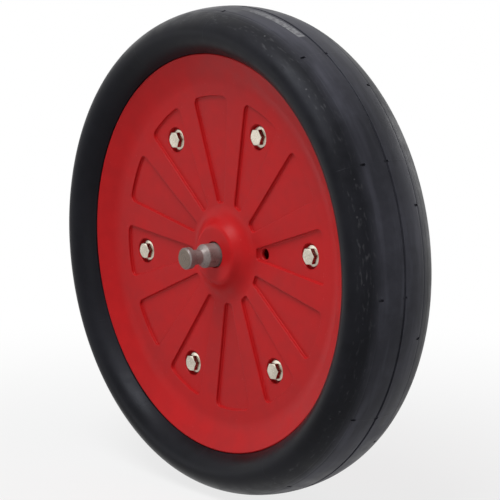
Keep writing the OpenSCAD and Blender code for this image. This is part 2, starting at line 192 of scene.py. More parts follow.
def draw_chain(name: str, points: list[Vector], closed: bool = True) -> Piece:
    """Draws a chain of edges: a small plane, merged to a point and extruded from place to place.

    Args:
        name: Name of the new object.
        points: The chain's points in order.
        closed: Whether an edge joins its two ends.

    Returns:
        The new object.
    """
    bpy.ops.object.select_all(action="DESELECT")
    bpy.ops.mesh.primitive_plane_add(size=MM, location=points[0])
    obj = bpy.context.object
    obj.name = name
    bpy.ops.object.transform_apply(location=True, rotation=True, scale=True)
    with editing(obj):
        bpy.ops.mesh.merge(type="CENTER")
        for a, b in zip(points, points[1:]):
            bpy.ops.mesh.extrude_vertices_move(TRANSFORM_OT_translate={"value": b - a})
        if closed:
            mesh = bmesh.from_edit_mesh(obj.data)
            for vert in mesh.verts:
                vert.select_set(len(vert.link_edges) == 1)
            bmesh.update_edit_mesh(obj.data)
            bpy.ops.mesh.edge_face_add()
    return obj


def tidy_mesh(obj: Piece) -> None:
    """Merges the doubles of a closed mesh and points its faces outwards."""
    with editing(obj):
        bpy.ops.mesh.remove_doubles(threshold=MERGE_DISTANCE)
        bpy.ops.mesh.normals_make_consistent(inside=False)


def spun(name: str, section: list[Point], steps: int) -> Piece:
    """Turns a section about the wheel's axis.

    Args:
        name: Name of the new object.
        section: The section's (r, h) points, closed or with both ends on the axis.
        steps: Faces round the axis.

    Returns:
        The closed solid of revolution.
    """
    on_axis = section[0][0] == 0 and section[-1][0] == 0
    obj = draw_chain(name, [Vector((r, -h, 0)) for r, h in section], closed=not on_axis)
    with editing(obj):
        bpy.ops.mesh.spin(steps=steps, angle=FULL_TURN, center=(0, 0, 0), axis=(0, 1, 0))
    tidy_mesh(obj)
    return obj


def prism(name: str, outline: list[Vector], rise: Triple) -> Piece:
    """Fills a flat outline and extrudes it to a closed solid.

    Args:
        name: Name of the new object.
        outline: The outline's points in order.
        rise: How far and which way it is extruded.

    Returns:
        The prism.
    """
    obj = draw_chain(name, outline)
    with editing(obj):
        bpy.ops.mesh.edge_face_add()
        bpy.ops.mesh.extrude_region_move(TRANSFORM_OT_translate={"value": rise})
    tidy_mesh(obj)
    return obj


def place(obj: Piece, at: Triple = (0, 0, 0), turn: Triple = (0, 0, 0)) -> None:
    """Turns and moves an object, and puts its place into its mesh.

    Args:
        obj: The object, which sits at the origin.
        at: Where its origin goes.
        turn: Its turn about X, Y and Z, in radians.
    """
    only(obj)
    obj.rotation_euler = turn
    obj.location = at
    bpy.ops.object.transform_apply(location=True, rotation=True, scale=True)


def about_axle(angle: float) -> Triple:
    """The turn about the axle that takes +X towards +Z by an angle."""
    return (0, -angle, 0)


def copy_of(obj: Piece, name: str) -> Piece:
    """Copies an object with a mesh of its own."""
    only(obj)
    bpy.ops.object.duplicate(linked=False)
    twin = bpy.context.object
    twin.name = name
    return twin


def joined(name: str, objs: list[Piece]) -> Piece:
    """Joins several objects into the first one."""
    only(objs[0])
    for obj in objs:
        obj.select_set(True)
    bpy.ops.object.join()
    objs[0].name = name
    return objs[0]


def ring_of(obj: Piece, count: int, start: float = 0.0) -> Piece:
    """Repeats an object round the axle and joins the copies.

    Args:
        obj: The object, which is used up.
        count: Number of copies.
        start: Angle of the first copy.

    Returns:
        The joined copies.
    """
    name = obj.name
    copies = [copy_of(obj, f"{name}_{k}") for k in range(count)]
    for k, twin in enumerate(copies):
        place(twin, turn=about_axle(start + FULL_TURN * k / count))
    bpy.data.objects.remove(obj)
    return joined(name, copies)


def combine(obj: Piece, tool: Piece, way: Join) -> None:
    """Combines a solid with a tool solid, which is then used up."""
    only(obj)
    bpy.ops.object.modifier_add(type="BOOLEAN")
    modifier = obj.modifiers[-1]
    modifier.operation = way.value
    modifier.object = tool
    modifier.solver = "EXACT"
    bpy.ops.object.modifier_apply(modifier=modifier.name)
    bpy.data.objects.remove(tool)


def soften(obj: Piece) -> None:
    """Shades a piece smoothly but for its sharp edges, with flat areas kept flat."""
    tidy_mesh(obj)
    only(obj)
    bpy.ops.object.shade_smooth_by_angle(angle=SMOOTH_ANGLE)
    bpy.ops.object.modifier_add(type="WEIGHTED_NORMAL")
    modifier = obj.modifiers[-1]
    modifier.keep_sharp = True
    modifier.weight = FLAT_WEIGHT
    bpy.ops.object.modifier_apply(modifier=modifier.name)


class NodeSketch:
    """Adds and joins the nodes of one tree."""

    def __init__(self, tree: bpy.types.NodeTree) -> None:
        """Keeps the tree."""
        self.tree = tree

    def add(self, kind: str, values: dict | None = None, **settings: object) -> bpy.types.Node:
        """Adds a node.

        Args:
            kind: The node's type, such as ShaderNodeMath.
            values: Socket name or number, to a value or to an output that feeds it.
            settings: Properties of the node.

        Returns:
            The new node.
        """
        node = self.tree.nodes.new(kind)
        for name, value in settings.items():
            setattr(node, name, value)
        for key, value in (values or {}).items():
            self.set(node.inputs[key], value)
        return node

    def set(self, socket: Socket, value: object) -> None:
        """Feeds a socket from an output, or sets it to a value."""
        if isinstance(value, Socket):
            self.tree.links.new(value, socket)
        elif socket.type == "RGBA":
            socket.default_value = (*value, 1)
        else:
            socket.default_value = value

    def place(self) -> Socket:
        """The place on the piece, in Object coordinates."""
        return self.add("ShaderNodeTexCoord").outputs["Object"]

    def math(self, operation: str, a: object, b: object = 0.0) -> Socket:
        """Adds a Math node and returns its value."""
        return self.add("ShaderNodeMath", {0: a, 1: b}, operation=operation).outputs[0]

    def between(self, value: Socket, low: float, high: float, to: Point = (0, 1)) -> Socket:
        """Maps low to high smoothly onto another range and returns the result."""
        values = {"Value": value, "From Min": low, "From Max": high, "To Min": to[0], "To Max": to[1]}
        return self.add("ShaderNodeMapRange", values, interpolation_type="SMOOTHSTEP").outputs["Result"]

    def mix(self, factor: object, a: object, b: object) -> Socket:
        """Mixes two colours and returns the result."""
        return self.add("ShaderNodeMix", {0: factor, 6: a, 7: b}, data_type="RGBA").outputs[2]

    def noise(self, vector: Socket, scale: object, detail: float = 3.0) -> Socket:
        """Adds a noise and returns its value."""
        values = {"Vector": vector, "Scale": scale, "Detail": detail}
        return self.add("ShaderNodeTexNoise", values).outputs[0]


class Effects:
    """Shader node groups that the finishes share."""

    broad_share = 0.65
    finer_times = 7.0
    tone_noise = (0.32, 0.68)
    speck_reach = (0.12, 0.3)
    speck_lot = (0.86, 0.9)
    gather_times = 0.1
    gather_noise = (0.42, 0.6)
    streak_noise = (0.42, 0.72)

    def __init__(self) -> None:
        """Builds each group once."""
        self.around = self.build_around()
        self.uneven = self.build_uneven()
        self.grain = self.build_grain()
        self.flecks = self.build_flecks()
        self.streaks = self.build_streaks()

    @staticmethod
    def start(name: str, inputs: dict[str, float]) -> tuple[NodeSketch, Sockets]:
        """Starts a group.

        Args:
            name: The group's name.
            inputs: Input names with their first values.

        Returns:
            The group's sketch and its inputs, as outputs of its first node.
        """
        tree = bpy.data.node_groups.new(name, "ShaderNodeTree")
        for label, value in inputs.items():
            socket = tree.interface.new_socket(label, in_out="INPUT", socket_type="NodeSocketFloat")
            socket.default_value = value
        sketch = NodeSketch(tree)
        return sketch, sketch.add("NodeGroupInput").outputs

    @staticmethod
    def end(sketch: NodeSketch, **results: Socket) -> bpy.types.NodeTree:
        """Gives a group its named outputs and returns its tree."""
        for label in results:
            sketch.tree.interface.new_socket(label, in_out="OUTPUT", socket_type="NodeSocketFloat")
        sketch.add("NodeGroupOutput", results)
        return sketch.tree

    def build_around(self) -> bpy.types.NodeTree:
        """Distance from the axis, angle from +X towards +Z in degrees, and distance along the axis."""
        sketch, _ = self.start("around_axle", {})
        split = sketch.add("ShaderNodeSeparateXYZ", {0: sketch.place()}).outputs
        squares = [sketch.math("MULTIPLY", split[name], split[name]) for name in ("X", "Z")]
        radius = sketch.math("SQRT", sketch.math("ADD", *squares))
        angle = sketch.math("DEGREES", sketch.math("ARCTAN2", split["Z"], split["X"]))
        return self.end(sketch, Radius=radius, Angle=angle, Along=split["Y"])

    def build_uneven(self) -> bpy.types.NodeTree:
        """Broad and finer blotches, from 0 to 1."""
        sketch, given = self.start("uneven_tone", {"Scale": 20.0})
        broad = sketch.noise(sketch.place(), given["Scale"], 4.0)
        finer = sketch.noise(sketch.place(), sketch.math("MULTIPLY", given["Scale"], self.finer_times))
        shares = (sketch.math("MULTIPLY", broad, self.broad_share),
                  sketch.math("MULTIPLY", finer, 1 - self.broad_share))
        return self.end(sketch, Tone=sketch.between(sketch.math("ADD", *shares), *self.tone_noise))

    def build_grain(self) -> bpy.types.NodeTree:
        """Height of a fine moulded or blasted skin."""
        sketch, given = self.start("fine_grain", {"Scale": 900.0})
        values = {"Vector": sketch.place(), "Scale": given["Scale"]}
        cells = sketch.add("ShaderNodeTexVoronoi", values).outputs["Distance"]
        soft = sketch.noise(sketch.place(), given["Scale"], 2.0)
        return self.end(sketch, Height=sketch.math("MULTIPLY", sketch.math("ADD", cells, soft), 0.5))

    def build_flecks(self) -> bpy.types.NodeTree:
        """Mask of small pale nicks, a few of them in patches."""
        sketch, given = self.start("small_flecks", {"Scale": 300.0, "Amount": 0.5})
        values = {"Vector": sketch.place(), "Scale": given["Scale"]}
        cells = sketch.add("ShaderNodeTexVoronoi", values).outputs
        lot = sketch.add("ShaderNodeSeparateXYZ", {0: cells["Color"]}).outputs
        specks = sketch.between(cells["Distance"], *self.speck_reach, (1, 0))
        chosen = sketch.between(lot["X"], *self.speck_lot)
        coarse = sketch.math("MULTIPLY", given["Scale"], self.gather_times)
        spread = sketch.noise(sketch.place(), coarse, 2.0)
        gathered = sketch.math("MULTIPLY", chosen, sketch.between(spread, *self.gather_noise))
        marks = sketch.math("MULTIPLY", specks, sketch.math("MULTIPLY", gathered, lot["Y"]))
        return self.end(sketch, Mask=sketch.math("MULTIPLY", marks, given["Amount"]))

    def build_streaks(self) -> bpy.types.NodeTree:
        """Soft marks drawn out round the axle, from 0 to 1."""
        sketch, given = self.start("drawn_streaks", {"Scale": 120.0, "Length": 0.05})
        around = sketch.add("ShaderNodeGroup", node_tree=self.around).outputs
        values = {
            "X": sketch.math("MULTIPLY", around["Angle"], given["Length"]),
            "Y": sketch.math("MULTIPLY", around["Along"], given["Scale"]),
            "Z": sketch.math("MULTIPLY", around["Radius"], given["Scale"]),
        }
        drawn = sketch.noise(sketch.add("ShaderNodeCombineXYZ", values).outputs[0], 1.0, 3.0)
        return self.end(sketch, Tone=sketch.between(drawn, *self.streak_noise))


class MaterialSketch(NodeSketch):
    """A new material with its shader."""

    def __init__(self, name: str) -> None:
        """Starts the material with a bare Principled BSDF."""
        self.material = bpy.data.materials.new(name)
        self.material.use_nodes = True
        super().__init__(self.material.node_tree)
        self.shader = self.tree.nodes["Principled BSDF"]

    def effect(self, group: bpy.types.NodeTree, **values: float) -> Sockets:
        """Places a shared effect with its values and returns its outputs."""
        node = self.add("ShaderNodeGroup", node_tree=group)
        for label, value in values.items():
            self.set(node.inputs[label], value)
        return node.outputs

    def feed(self, **sources: object) -> None:
        """Feeds the shader's sockets, named with _ for each space."""
        for label, source in sources.items():
            self.set(self.shader.inputs[label.replace("_", " ")], source)

    def bump(self, *layers: tuple[Socket, float]) -> None:
        """Stacks bump layers, each a height with its depth in metres, on the shader's normal."""
        normal = None
        for height, depth in layers:
            node = self.add("ShaderNodeBump", {"Height": height, "Distance": depth, "Strength": 1.0})
            if normal is not None:
                self.set(node.inputs["Normal"], normal)
            normal = node.outputs["Normal"]
        self.feed(Normal=normal)


@dataclass(frozen=True)
class MouldedPlastic:
    """Satin injection-moulded plastic with faint flow marks."""

    name: str
    light: Triple
    dark: Triple
    roughness: Point = (0.34, 0.46)
    gloss: float = 0.14
    blotch_scale: float = 14.0
    fleck_scale: float = 420.0
    fleck_amount: float = 0.3
    fleck_lift: float = 0.10
    fleck_roughness: float = 0.2
    grain_scale: float = 1500.0
    grain_depth: float = 0.012 * MM
    wave_scale: float = 34.0
    wave_depth: float = 0.10 * MM

    def make(self, effects: Effects) -> bpy.types.Material:
        """Builds the material."""
        sketch = MaterialSketch(self.name)
        tone = sketch.effect(effects.uneven, Scale=self.blotch_scale)["Tone"]
        flecks = sketch.effect(effects.flecks, Scale=self.fleck_scale, Amount=self.fleck_amount)["Mask"]
        grain = sketch.effect(effects.grain, Scale=self.grain_scale)["Height"]
        waves = sketch.noise(sketch.place(), self.wave_scale, 1.0)
        worn = tuple(min(1.0, c + self.fleck_lift) for c in self.light)
        skin = sketch.between(tone, 0, 1, self.roughness)
        sketch.feed(
            Base_Color=sketch.mix(flecks, sketch.mix(tone, self.dark, self.light), worn),
            Roughness=sketch.math("ADD", skin, sketch.math("MULTIPLY", flecks, self.fleck_roughness)),
            Specular_IOR_Level=self.gloss,
        )
        sketch.bump((waves, self.wave_depth), (grain, self.grain_depth))
        return sketch.material


@dataclass(frozen=True)
class TyreRubber:
    """Moulded black rubber with bloom, drawn streaks, mould lines across the tread and nicked shoulders."""

    name: str
    dark: Triple = (0.0035, 0.0035, 0.0045)
    bloom: Triple = (0.008, 0.008, 0.0105)
    trodden: Triple = (0.060, 0.060, 0.075)
    nicked: Triple = (0.12, 0.12, 0.13)
    painted: Triple = (0.24, 0.24, 0.25)
    roughness: Point = (0.34, 0.50)
    gloss: float = 0.12
    gloss_tint: Triple = (0.84, 0.88, 1.0)
    blotch_scale: float = 16.0
    grain_scale: float = 1100.0
    grain_depth: float = 0.02 * MM
    lump_scale: float = 26.0
    lump_depth: float = 0.35 * MM
    tread: Point = (15 * MM, 25 * MM)
    dust_tone: Point = (0.4, 0.65)
    patch_scale: float = 8.0
    patch_noise: Point = (0.38, 0.62)
    patch_tone: Point = (0.6, 1.0)
    streak_scale: float = 160.0
    streak_length: float = 0.06
    streak_share: float = 0.35
    shoulder: Point = (22 * MM, 29 * MM)
    shoulder_fade: float = 4 * MM
    shoulder_r: Point = (148 * MM, 152 * MM)
    fleck_scale: float = 330.0
    fleck_amount: float = 0.8
    smear_scale: float = 520.0
    smear_length: float = 0.45
    smear_power: float = 4.0
    smear_share: float = 0.35
    mould_pitch: float = 30.0
    mould_phase: float = 57.6
    mould_line: float = 0.14
    mould_depth: float = 0.05 * MM
    bar_angles: tuple[float, float, float] = (64.5, 74.0, 88.0)
    bar_middle: float = -4.6 * MM
    bar_half: float = 2.9 * MM
    bar_drift: float = -0.12 * MM
    bar_edge: float = 0.4 * MM
    bar_start: float = 0.3
    bar_wear_scale: float = 420.0
    bar_wear_noise: Point = (0.35, 0.65)
    bar_wear_tone: Point = (0.3, 0.9)

    def paint_bar(self, sketch: MaterialSketch, around: Sockets) -> Socket:
        """Mask of one worn bar of paint beside the groove.

        Args:
            sketch: The material.
            around: Outputs of the shared place round the axle.

        Returns:
            The mask, from 0 to 1.
        """
        first, full, last = self.bar_angles
        past = sketch.math("SUBTRACT", around["Angle"], first)
        middle = sketch.math("ADD", sketch.math("MULTIPLY", past, self.bar_drift), self.bar_middle)
        off = sketch.math("ABSOLUTE", sketch.math("SUBTRACT", around["Along"], middle))
        wide = sketch.between(off, self.bar_half - self.bar_edge, self.bar_half, (1, 0))
        begun = sketch.between(past, 0.0, self.bar_start)
        left = sketch.between(around["Angle"], full, last, (1, 0))
        rubbed = sketch.noise(sketch.place(), self.bar_wear_scale)
        wear = sketch.between(rubbed, *self.bar_wear_noise, self.bar_wear_tone)
        whole = sketch.math("MULTIPLY", wide, begun)
        return sketch.math("MULTIPLY", whole, sketch.math("MULTIPLY", left, wear))

    def shoulder_marks(self, sketch: MaterialSketch, effects: Effects, around: Sockets,
                       tone: Socket) -> Socket:
        """Mask of the small nicks and drawn smears on both shoulders.

        Args:
            sketch: The material.
            effects: The shared effects.
            around: Outputs of the shared place round the axle.
            tone: The rubber's blotches.

        Returns:
            The mask, from 0 to 1.
        """
        flecks = sketch.effect(effects.flecks, Scale=self.fleck_scale, Amount=self.fleck_amount)["Mask"]
        drawn = sketch.effect(effects.streaks, Scale=self.smear_scale, Length=self.smear_length)["Tone"]
        share = sketch.math("MULTIPLY", tone, self.smear_share)
        smears = sketch.math("MULTIPLY", sketch.math("POWER", drawn, self.smear_power), share)
        across = sketch.math("ABSOLUTE", around["Along"])
        low, high = self.shoulder
        inner = sketch.between(across, low - self.shoulder_fade, low)
        outer = sketch.between(across, high, high + self.shoulder_fade, (1, 0))
        outside = sketch.between(around["Radius"], *self.shoulder_r)
        zone = sketch.math("MULTIPLY", outside, sketch.math("MULTIPLY", inner, outer))
        return sketch.math("MULTIPLY", sketch.math("MAXIMUM", flecks, smears), zone)

    def tread_dust(self, sketch: MaterialSketch, effects: Effects, around: Sockets,
                   tone: Socket) -> Socket:
        """Mask of the paler, trodden rubber on the tread.

        Args:
            sketch: The material.
            effects: The shared effects.
            around: Outputs of the shared place round the axle.
            tone: The rubber's blotches.

        Returns:
            The mask, from 0 to 1.
        """
        streaks = sketch.effect(effects.streaks, Scale=self.streak_scale, Length=self.streak_length)["Tone"]
        blotches = sketch.between(tone, 0, 1, self.dust_tone)
        shade = sketch.math("ADD", sketch.math("MULTIPLY", streaks, self.streak_share), blotches)
        spread = sketch.noise(sketch.place(), self.patch_scale, 1.0)
        patches = sketch.between(spread, *self.patch_noise, self.patch_tone)
        on_tread = sketch.between(sketch.math("ABSOLUTE", around["Along"]), *self.tread, (1, 0))
        return sketch.math("MULTIPLY", sketch.math("MULTIPLY", shade, patches), on_tread)

    def make(self, effects: Effects) -> bpy.types.Material:
        """Builds the material."""
        sketch = MaterialSketch(self.name)
        around = sketch.effect(effects.around)
        tone = sketch.effect(effects.uneven, Scale=self.blotch_scale)["Tone"]
        grain = sketch.effect(effects.grain, Scale=self.grain_scale)["Height"]
        lumps = sketch.noise(sketch.place(), self.lump_scale, 2.0)
        turned = sketch.math("SUBTRACT", around["Angle"], self.mould_phase)
        from_line = sketch.math("PINGPONG", turned, self.mould_pitch / 2)
        parting = sketch.between(from_line, 0.0, self.mould_line, (1, 0))
        plain = sketch.mix(tone, self.dark, self.bloom)
        worn = sketch.mix(self.tread_dust(sketch, effects, around, tone), plain, self.trodden)
        marked = sketch.mix(self.paint_bar(sketch, around), worn, self.painted)
        sketch.feed(
            Base_Color=sketch.mix(self.shoulder_marks(sketch, effects, around, tone), marked, self.nicked),
            Roughness=sketch.between(tone, 0, 1, self.roughness),
            Specular_IOR_Level=self.gloss,
            Specular_Tint=self.gloss_tint,
        )
        sketch.bump((lumps, self.lump_depth), (parting, self.mould_depth), (grain, self.grain_depth))
        return sketch.material


@dataclass(frozen=True)
class SealRubber:
    """Seal rubber with a fine moulded skin."""

    name: str
    dark: Triple = (0.008, 0.008, 0.009)
    light: Triple = (0.022, 0.022, 0.024)
    roughness: Point = (0.45, 0.6)
    blotch_scale: float = 160.0
    grain_scale: float = 2500.0
    grain_depth: float = 0.01 * MM

    def make(self, effects: Effects) -> bpy.types.Material:
        """Builds the material."""
        sketch = MaterialSketch(self.name)
        tone = sketch.effect(effects.uneven, Scale=self.blotch_scale)["Tone"]
        grain = sketch.effect(effects.grain, Scale=self.grain_scale)["Height"]
        sketch.feed(
            Base_Color=sketch.mix(tone, self.dark, self.light),
            Roughness=sketch.between(tone, 0, 1, self.roughness),
        )
        sketch.bump((grain, self.grain_depth))
        return sketch.material


@dataclass(frozen=True)
class Metal:
    """Bare, plated or dulled metal, with lathe lines and a toned end face where it was turned."""

    name: str
    bright: Triple
    dull: Triple
    roughness: Point
    blotch_scale: float = 120.0
    fleck_scale: float = 1500.0
    fleck_amount: float = 0.6
    fleck_roughness: float = 0.15
    grain_scale: float = 3000.0
    grain_depth: float = 0.006 * MM
    bare: float = 1.0
    lathe_lines: float = 0.0
    lathe_depth: float = 0.0
    lathe_noise: Point = (0.3, 0.7)
    lathe_roughness: float = 0.06
    end_along: float = 0.0
    end_depth: float = 0.1 * MM
    end_share: float = 0.85
    end_tone: Triple = (0.0, 0.0, 0.0)

    def make(self, effects: Effects) -> bpy.types.Material:
        """Builds the material."""
        sketch = MaterialSketch(self.name)
        tone = sketch.effect(effects.uneven, Scale=self.blotch_scale)["Tone"]
        flecks = sketch.effect(effects.flecks, Scale=self.fleck_scale, Amount=self.fleck_amount)["Mask"]
        grain = sketch.effect(effects.grain, Scale=self.grain_scale)["Height"]
        layers = [(grain, self.grain_depth)]
        colour = sketch.mix(tone, self.dull, self.bright)
        rough = sketch.between(tone, 0, 1, self.roughness)
        rough = sketch.math("ADD", rough, sketch.math("MULTIPLY", flecks, self.fleck_roughness))
        if self.lathe_lines:
            around = sketch.effect(effects.around)
            values = {"X": around["Radius"], "Y": around["Along"]}
            flat = sketch.add("ShaderNodeCombineXYZ", values).outputs[0]
            lines = sketch.noise(flat, self.lathe_lines, 2.0)
            layers.insert(0, (lines, self.lathe_depth))
            swing = (-self.lathe_roughness, self.lathe_roughness)
            rough = sketch.math("ADD", rough, sketch.between(lines, *self.lathe_noise, swing))
            if self.end_along:
                behind = self.end_along + self.end_depth
                on_end = sketch.between(around["Along"], self.end_along, behind, (self.end_share, 0))
                colour = sketch.mix(on_end, colour, self.end_tone)
        sketch.feed(Base_Color=colour, Metallic=self.bare, Roughness=rough)
        sketch.bump(*layers)
        return sketch.material


class Finishes:
    """Every material of the wheel, by its slot."""

    def __init__(self, effects: Effects) -> None:
        """Builds the materials."""
        recipes = {
            Slot.TYRE: TyreRubber("tyre_rubber"),
            Slot.RIM: MouldedPlastic("rim_red_nylon", (0.49, 0.0095, 0.0115), (0.40, 0.007, 0.009)),
            Slot.PLATED: Metal("bright_zinc", (0.60, 0.55, 0.465), (0.42, 0.38, 0.315), (0.18, 0.30),
                               grain_depth=0.0015 * MM),
            Slot.LOCK: MouldedPlastic("lock_ring_nylon", (0.05, 0.11, 0.32), (0.03, 0.07, 0.22),
                                      blotch_scale=300.0),
            Slot.TURNED: Metal("turned_steel", (0.27, 0.235, 0.225), (0.17, 0.145, 0.137), (0.28, 0.42),
                               lathe_lines=2600.0, lathe_depth=0.30 * MM, bare=0.35,
                               end_along=-45.9 * MM, end_tone=(0.125, 0.090, 0.062)),
            Slot.SPRING: Metal("phosphated_steel", (0.07, 0.07, 0.075), (0.035, 0.035, 0.04), (0.42, 0.55)),
            Slot.BEARING: Metal("ground_steel", (0.66, 0.67, 0.69), (0.56, 0.57, 0.59), (0.12, 0.2),
                                lathe_lines=5000.0, lathe_depth=0.004 * MM),
            Slot.CAGE: MouldedPlastic("cage_nylon", (0.62, 0.55, 0.36), (0.52, 0.45, 0.28),
                                      blotch_scale=200.0),
            Slot.SEAL: SealRubber("seal_rubber"),
        }
        self.by_slot = {slot: recipe.make(effects) for slot, recipe in recipes.items()}

    def dress(self, obj: Piece, slot: Slot) -> None:
        """Gives a new piece the material of its slot."""
        obj.data.materials.clear()
        obj.data.materials.append(self.by_slot[slot])

    def dress_node(self, name: str, slot: Slot) -> None:
        """Gives a node of the frame its material."""
        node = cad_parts[name]
        if not node.material_slots:
            node.data.materials.append(self.by_slot[slot])
        for material_slot in node.material_slots:
            material_slot.material = self.by_slot[slot]


def settle(obj: Piece, body: Body, *nodes: str) -> None:
    """Lets a finished piece ride on a body in place of nodes of the frame."""
    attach(obj, body.value)
    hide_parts(*nodes)
    log.info("%s: %d faces, in place of %s", obj.name, len(obj.data.polygons), ", ".join(nodes))


@dataclass(frozen=True)
class BoltCircle:
    """Places of the bolts at rest, which the rim's holes and the fasteners share."""

    count: int = 6
    r: float = 89.0 * MM
    seat_h: float = 9.0 * MM
    rest_angle: float = math.radians(6.5)


@dataclass
class Tyre:
    """Hollow tyre with a crowned tread, one groove, shoulder creases and mould vents."""

    widest_r: float = 148.5 * MM
    groove_half: float = 0.8 * MM
    groove_depth: float = 1.2 * MM
    groove_lip: float = 0.25 * MM
    creases: tuple[Point, ...] = ((18.0 * MM, 0.16 * MM), (22.5 * MM, 0.08 * MM))
    crease_half: float = 0.5 * MM
    crease_shape: tuple[Point, ...] = ((-1, 0), (-0.4, 0.75), (0, 1), (0.4, 0.75), (1, 0))
    crease_clear: float = 1.5
    foot_gap: float = 0.2 * MM
    foot_edge_r: float = 0.7 * MM
    foot: tuple[Point, Point] = ((134.6 * MM, 19.05 * MM), (117.2 * MM, 10.27 * MM))
    slit_half: float = 2.0 * MM
    hollow: Point = (8.5 * MM, 24.5 * MM)
    turns: int = 288
    tread_steps: int = 40
    sidewall_steps: int = 18
    hollow_steps: int = 16
    vent_count: int = 12
    vent_size: Triple = (2.4 * MM, 3.4 * MM, 1.7 * MM)
    vent_edge: float = 0.4 * MM
    vent_rings: tuple[Point, ...] = ((-17.6 * MM, 57.6), (16.9 * MM, 47.3), (0.0, 57.6))
    tread_r: float = field(init=False)
    half_w: float = field(init=False)
    rim_r: float = field(init=False)
    rim_edge: float = field(init=False)

    def __post_init__(self) -> None:
        """Takes the outside sizes from the frame."""
        _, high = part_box("tyre")
        rim_low, rim_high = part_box("front_rim")
        self.tread_r, self.half_w = high.z, high.y
        self.rim_r, self.rim_edge = rim_high.z, -rim_low.y

    def tread_at(self, h: float) -> float:
        """Distance of the tread from the axis at a distance h from the middle."""
        return self.widest_r + (self.tread_r - self.widest_r) * math.sqrt(1 - (h / self.half_w) ** 2)

    def tread(self) -> list[Point]:
        """Half of the tread, from the groove's middle to the widest ring, with its creases."""
        bottom, wall, lip = self.tread_r - self.groove_depth, self.groove_half, self.groove_lip
        groove = [(bottom, 0), (bottom, wall - lip), (bottom + lip, wall), (self.tread_r - lip, wall)]
        crown = (self.tread_r - self.widest_r, self.half_w)
        start = math.asin((wall + lip) / self.half_w)
        points = [
            (r, h) for r, h in ellipse(self.widest_r, crown, start, math.pi / 2, self.tread_steps)
            if all(abs(h - middle) > self.crease_clear * self.crease_half for middle, _ in self.creases)
        ]
        for middle, depth in self.creases:
            for offset, sink in self.crease_shape:
                h = middle + offset * self.crease_half
                points.append((self.tread_at(h) - sink * depth, h))
        return groove + sorted(points, key=lambda point: point[1])

    def section(self) -> list[Point]:
        """The closed section: tread, sidewalls, foot, slit and hollow."""
        foot_r = self.rim_r + self.foot_gap
        share = self.rim_edge / self.half_w
        drop = (self.widest_r - foot_r) / math.sqrt(1 - share ** 2)
        end = math.pi / 2 + math.acos(share)
        wall = ellipse(self.widest_r, (drop, self.half_w), math.pi / 2, end, self.sidewall_steps)[1:-1]
        edge = rounded([
            Corner(*wall[-1]),
            Corner(foot_r, self.rim_edge, self.foot_edge_r),
            Corner(*self.foot[0]),
        ])
        slit = math.asin(self.slit_half / self.hollow[1])
        hollow = ellipse(self.widest_r, self.hollow, math.pi - slit, 0, self.hollow_steps)
        foot = [self.foot[1], (self.foot[1][0], self.slit_half)]
        return with_mirror(self.tread() + wall[:-1] + edge + foot + hollow)

    def vents(self) -> Piece:
        """Cutter for the small mould vents: two rings on the shoulders and one in the groove."""
        rings = []
        for along, phase in self.vent_rings:
            bpy.ops.object.select_all(action="DESELECT")
            bpy.ops.mesh.primitive_cube_add(size=1)
            slot = bpy.context.object
            slot.scale = self.vent_size
            bpy.ops.object.transform_apply(location=True, rotation=True, scale=True)
            with editing(slot):
                bpy.ops.mesh.bevel(offset=self.vent_edge, segments=2, affect="EDGES")
            place(slot, at=(self.tread_at(along), along, 0))
            rings.append(ring_of(slot, self.vent_count, math.radians(phase)))
        return joined("vents", rings)

    def build(self, finishes: Finishes) -> None:
        """Builds the tyre and dresses it."""
        tyre = spun("tyre_body", self.section(), self.turns)
        combine(tyre, self.vents(), Join.CUT)
        soften(tyre)
        finishes.dress(tyre, Slot.TYRE)
        settle(tyre, Body.WHEEL, "tyre")


